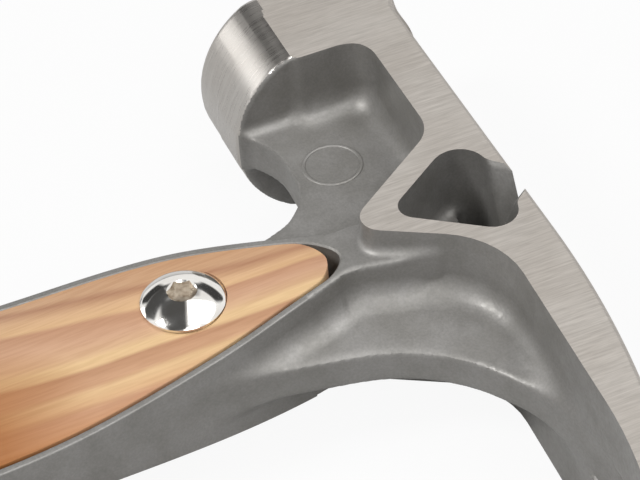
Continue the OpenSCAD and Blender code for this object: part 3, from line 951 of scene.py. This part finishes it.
def brushed(name, dark, light, rough, metal, turn, depth):
    """Machined steel with fine lines across the head; depth is the strength of their bump."""
    material, tree, shader = new_material(name)
    place = object_space(tree)
    lines = noise(tree, place, 3400, (1, 0.035, 0.035), detail=3, turn=turn)
    fine = noise(tree, place, 8000, (1, 0.05, 0.05), detail=2, turn=turn * 0.6)
    cloud = noise(tree, place, 90, detail=3)
    half_lines = math_node(tree, "MULTIPLY", lines, 0.5)
    half_fine = math_node(tree, "MULTIPLY", fine, 0.5)
    mixed = math_node(tree, "ADD", half_lines, half_fine)
    tone = blend(tree, spread(tree, mixed, 0.36, 0.64), dark, light)
    shade = tinted(tree, tone, (0.93, 0.92, 0.91))
    tone = blend(tree, spread(tree, cloud, 0.35, 0.65), shade, tone)
    roughness = spread(tree, mixed, 0.3, 0.7, rough, rough + 0.12)
    wire(tree, shader, tone, roughness, bump(tree, mixed, depth, 0.00005))
    shader.inputs["Metallic"].default_value = metal
    return material


def wood_bands(tree, place, wander):
    """Slanting yellow and pinkish-brown bands, which fan out along the handle."""
    axes = node(tree, "SeparateXYZ", {0: place}).outputs
    ripple = noise(tree, place, 160, (1, 0.08, 1), detail=3)
    x = math_node(tree, "ADD", axes[0], spread(tree, wander, 0.3, 0.7, -0.0016, 0.0016))
    x = math_node(tree, "ADD", x, spread(tree, ripple, 0.3, 0.7, -0.0005, 0.0005))
    opening = {0: axes[1], 1: FAN_FROM_Y, 2: FAN_TO_Y, 3: FAN_NARROW, 4: FAN_WIDE}
    fan = node(tree, "MapRange", opening, interpolation_type="SMOOTHSTEP").outputs[0]
    across = math_node(tree, "DIVIDE", math_node(tree, "SUBTRACT", x, FAN_X), fan)
    return ramp(tree, spread(tree, across, -BANDS_W, 0.0), [
        (0.00, srgb(186, 128, 80)),
        (0.10, srgb(194, 148, 108)),
        (0.25, srgb(200, 158, 120)),
        (0.29, srgb(176, 130, 98)),
        (0.36, srgb(212, 171, 130)),
        (0.42, srgb(217, 177, 132)),
        (0.445, srgb(189, 143, 110)),
        (0.52, srgb(204, 161, 128)),
        (0.59, srgb(211, 171, 132)),
        (0.63, srgb(224, 189, 140)),
        (0.67, srgb(221, 184, 136)),
        (0.69, srgb(184, 138, 103)),
        (0.77, srgb(202, 157, 120)),
        (0.80, srgb(221, 184, 136)),
        (0.84, srgb(216, 174, 128)),
        (0.87, srgb(198, 150, 114)),
        (1.00, srgb(200, 146, 100)),
    ])


def scale_wood():
    """Pale banded softwood with fine fibres and pores under a thin satin finish, and a patch of painted
    shade by the rim.
    """
    material, tree, shader = new_material("scale_wood")
    place = object_space(tree)
    wander = noise(tree, place, 26, (1.2, 0.35, 1.2), detail=2)
    tone = wood_bands(tree, place, wander)
    # Painted shade: the wood turns darker and warmer near a spot by the rim, where its edge curves away from
    # the light
    away = node(tree, "VectorMath", {0: place, 1: PAINTED_SHADE_SPOT}, operation="DISTANCE").outputs["Value"]
    away = math_node(tree, "ADD", away, spread(tree, wander, 0.3, 0.7, -0.004, 0.004))
    tone = blend(tree, spread(tree, away, 0.020, 0.006, 0, 0.9), tone, srgb(164, 104, 52))
    fibre = noise(tree, place, 2200, (1, 0.03, 1), detail=3)
    pores = noise(tree, place, 900, (1, 0.06, 1), detail=2)
    streak = tinted(tree, tone, (0.84, 0.79, 0.74))
    tone = blend(tree, spread(tree, fibre, 0.42, 0.62, 0, 0.5), tone, streak)
    tone = blend(tree, spread(tree, pores, 0.55, 0.7, 0, 0.4), tone, streak)
    tone = tinted(tree, tone, (0.9, 0.92, 0.97))
    roughness = spread(tree, fibre, 0.3, 0.7, 0.42, 0.58)
    wire(tree, shader, tone, roughness, bump(tree, fibre, 0.25, 0.00008))
    shader.inputs["Specular IOR Level"].default_value = 0.35
    return material


def polished_chrome():
    """Polished plated steel with faint wipe marks."""
    material, tree, shader = new_material("polished_chrome")
    smear = noise(tree, object_space(tree), 420, (1, 0.5, 1), detail=4)
    tone = blend(tree, spread(tree, smear, 0.35, 0.65), srgb(226, 222, 216), srgb(240, 238, 234))
    wire(tree, shader, tone, spread(tree, smear, 0.35, 0.7, 0.05, 0.13))
    shader.inputs["Metallic"].default_value = 1.0
    return material


def dull_socket():
    """Broached steel inside the sockets, brownish and uneven."""
    material, tree, shader = new_material("dull_socket")
    stain = noise(tree, object_space(tree), 900, detail=4)
    tone = blend(tree, spread(tree, stain, 0.35, 0.65), srgb(112, 98, 82), srgb(168, 158, 144))
    wire(tree, shader, tone, spread(tree, stain, 0.3, 0.7, 0.28, 0.42))
    shader.inputs["Metallic"].default_value = 0.7
    return material


# Pieces
def dress(obj, *materials):
    """Gives an object its materials. This clears the material index of each face."""
    obj.data.materials.clear()
    for material in materials:
        obj.data.materials.append(material)


def finish_piece(obj, slot, sharp_angle, *nodes):
    for polygon in obj.data.polygons:
        polygon.use_smooth = True
    obj.data.set_sharp_from_angle(angle=math.radians(sharp_angle))
    obj.data.transform(Matrix.Translation(ORIGIN) @ Matrix.Diagonal((MM, MM, MM, 1)))
    obj.data.update()
    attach(obj, "root")
    if nodes:
        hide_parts(*nodes)


def keep_flat(obj, mask):
    """Leaves the marked faces without smoothing."""
    obj.data.polygons.foreach_set("use_smooth", ~mask)
    obj.data.update()


skin = cast_skin()
ground_turn = math.radians(4)
ground = brushed("ground_steel", srgb(172, 166, 159), srgb(192, 186, 179), 0.46, 0.5, ground_turn, 0.28)
turned = brushed("turned_steel", srgb(178, 174, 169), srgb(194, 190, 185), 0.24, 0.95, 0.0, 0.14)
wood = scale_wood()
chrome = polished_chrome()
socket = dull_socket()

casting = make_casting()
marks, flat_sides = machined_faces(casting)
dress(casting, skin, ground, turned)
casting.data.polygons.foreach_set("material_index", marks)
finish_piece(casting, "cast_body", 32, "hammer_body")
keep_flat(casting, flat_sides)
ring = make_ring_mark()
dress(ring, skin)
finish_piece(ring, "cast_body", 60)
for side, end in ((1, "top"), (-1, "bottom")):
    scale = make_scale(f"wood_scale_{end}", side)
    dress(scale, wood)
    finish_piece(scale, "grip_wood", 30, f"grip_scale_{end}")
for number, s in enumerate(SCREW_S, 1):
    for side, kind in ((1, "screw"), (-1, "nut")):
        head = make_fastener(f"domed_{kind}_{number}", s, side)
        dress(head, chrome, socket)
        head.data.polygons.foreach_set("material_index", socket_faces(head, s))
        finish_piece(head, "fasteners", 30, f"scale_{kind}_{number}")

# Camera at the photograph's place, with the directions of its frame
CAMERA_LENS = 166.4
CAMERA_SENSOR = 36
CAMERA_PLACE = (350.17, -124.71, 308.08)
CAMERA_RIGHT = Vector((0.393, 0.9173, -0.0644))
CAMERA_UP = Vector((-0.6118, 0.3131, 0.7264))
CAMERA_BACK = Vector((0.6865, -0.2461, 0.6843))

# Floor, lamps and world
TARGET = at(45, -25, 0)
FLOOR_HALF = 4
FLOOR_GAP = 0.0001
FLOOR_GLOW = 0.93
FLOOR_GLOSS_GLOW = 0.12
CARD_DISTANCE = 0.9
CARD_SOFT_EDGE = 0.14
WORLD_LIGHT = 0.22


def make_camera():
    data = bpy.data.cameras.new("camera")
    data.sensor_width = CAMERA_SENSOR
    data.lens = CAMERA_LENS
    camera = new_object("camera", data)
    rotation = Matrix((CAMERA_RIGHT, CAMERA_UP, CAMERA_BACK)).transposed().to_4x4()
    camera.matrix_world = Matrix.Translation(at(*CAMERA_PLACE)) @ rotation
    bpy.context.scene.camera = camera


def face_target(obj, azimuth, elevation, distance):
    """Puts an object at a distance from the target, facing it."""
    a, e = math.radians(azimuth), math.radians(elevation)
    away = Vector((math.cos(e) * math.cos(a), math.cos(e) * math.sin(a), math.sin(e)))
    place = TARGET + away * distance
    obj.location = place
    obj.rotation_mode = "QUATERNION"
    obj.rotation_quaternion = (TARGET - place).to_track_quat("-Z", "Y")


def lamp(name, azimuth, elevation, distance, width, height, power):
    """Soft box. Angles are in degrees, lengths in metres and power in watts."""
    data = bpy.data.lights.new(name, "AREA")
    data.shape = "RECTANGLE"
    data.size = width
    data.size_y = height
    data.energy = power
    face_target(new_object(name, data), azimuth, elevation, distance)


def show_mix(tree, factor, first, second):
    """Sends a mix of two shaders to the surface."""
    mixed = node(tree, "MixShader", {0: factor, 1: first.outputs[0], 2: second.outputs[0]})
    tree.links.new(mixed.outputs[0], tree.nodes["Material Output"].inputs["Surface"])


def dark_card(name, azimuth, elevation, width, height, tone):
    """Soft-edged card that only reflections see, as a photographer's flag; its sides are in degrees."""
    w = CARD_DISTANCE * math.tan(math.radians(width / 2))
    h = CARD_DISTANCE * math.tan(math.radians(height / 2))
    card = rectangle(name, w, h)
    face_target(card, azimuth, elevation, CARD_DISTANCE)
    material, tree, _ = new_material(name)
    axes = node(tree, "SeparateXYZ", {0: node(tree, "TexCoord").outputs["Generated"]}).outputs
    fades = []
    for axis in (axes[0], axes[1]):
        off_centre = math_node(tree, "ABSOLUTE", math_node(tree, "SUBTRACT", axis, 0.5))
        fades.append(spread(tree, math_node(tree, "SUBTRACT", 0.5, off_centre), 0.0, CARD_SOFT_EDGE))
    glow = node(tree, "Emission", {"Color": (tone, tone, tone, 1)})
    show_mix(tree, math_node(tree, "MULTIPLY", *fades), node(tree, "BsdfTransparent"), glow)
    dress(card, material)
    card.visible_camera = False
    card.visible_diffuse = False
    card.visible_shadow = False
    card.visible_transmission = False


def make_floor():
    """Pale floor that glows for camera and transmission rays, and faintly for glossy ones."""
    floor = rectangle("floor", FLOOR_HALF, FLOOR_HALF)
    floor.location.z = cad_lo.z - FLOOR_GAP
    material, tree, shader = new_material("pale_floor")
    cloud = noise(tree, object_space(tree), 3, detail=3)
    tree.links.new(blend(tree, cloud, (0.56, 0.56, 0.56), (0.6, 0.6, 0.6)), shader.inputs["Base Color"])
    shader.inputs["Roughness"].default_value = 0.9
    shader.inputs["Specular IOR Level"].default_value = 0.0
    white = node(tree, "Emission", {"Color": (1, 1, 1, 1), "Strength": 1.0})
    path = node(tree, "LightPath").outputs
    direct = math_node(tree, "MAXIMUM", path["Is Camera Ray"], path["Is Transmission Ray"])
    direct = math_node(tree, "MULTIPLY", direct, FLOOR_GLOW)
    glossy = math_node(tree, "MULTIPLY", path["Is Glossy Ray"], FLOOR_GLOSS_GLOW)
    show_mix(tree, math_node(tree, "MAXIMUM", direct, glossy), shader, white)
    dress(floor, material)


def make_world():
    """White for camera, glossy and transmission rays, and a dim even light for the rest."""
    world = bpy.data.worlds.new("world")
    world.use_nodes = True
    bpy.context.scene.world = world
    tree = world.node_tree
    path = node(tree, "LightPath").outputs
    seen = math_node(tree, "MAXIMUM", path["Is Camera Ray"], path["Is Glossy Ray"])
    seen = math_node(tree, "MAXIMUM", seen, path["Is Transmission Ray"])
    background = tree.nodes["Background"].inputs
    tree.links.new(spread(tree, seen, 0, 1, WORLD_LIGHT, 1), background["Strength"])
    background["Color"].default_value = (1, 1, 1, 1)


make_camera()
make_floor()
make_world()
lamp("softbox_side", 72, 66, 1.1, 0.9, 0.8, 5.7)
lamp("softbox_front", -4, 46, 1.2, 0.6, 0.5, 3.7)
lamp("softbox_low", -135, 15, 1.0, 0.34, 0.32, 0.6)
lamp("softbox_fill", -95, 50, 1.1, 0.28, 0.28, 7.2)
dark_card("card_low", -152, 37, 66, 30, 0.08)
dark_card("card_horizon", -132, 0, 70, 8, 0.25)
dark_card("card_left", -165, 17, 30, 18, 0.05)
dark_card("card_high", -110, 73, 90, 44, 0.1)
dark_card("card_right", 126, 31, 40, 22, 0.06)
dark_card("card_back", 166, 44, 48, 36, 0.32)
bpy.context.scene.view_settings.view_transform = "Standard"
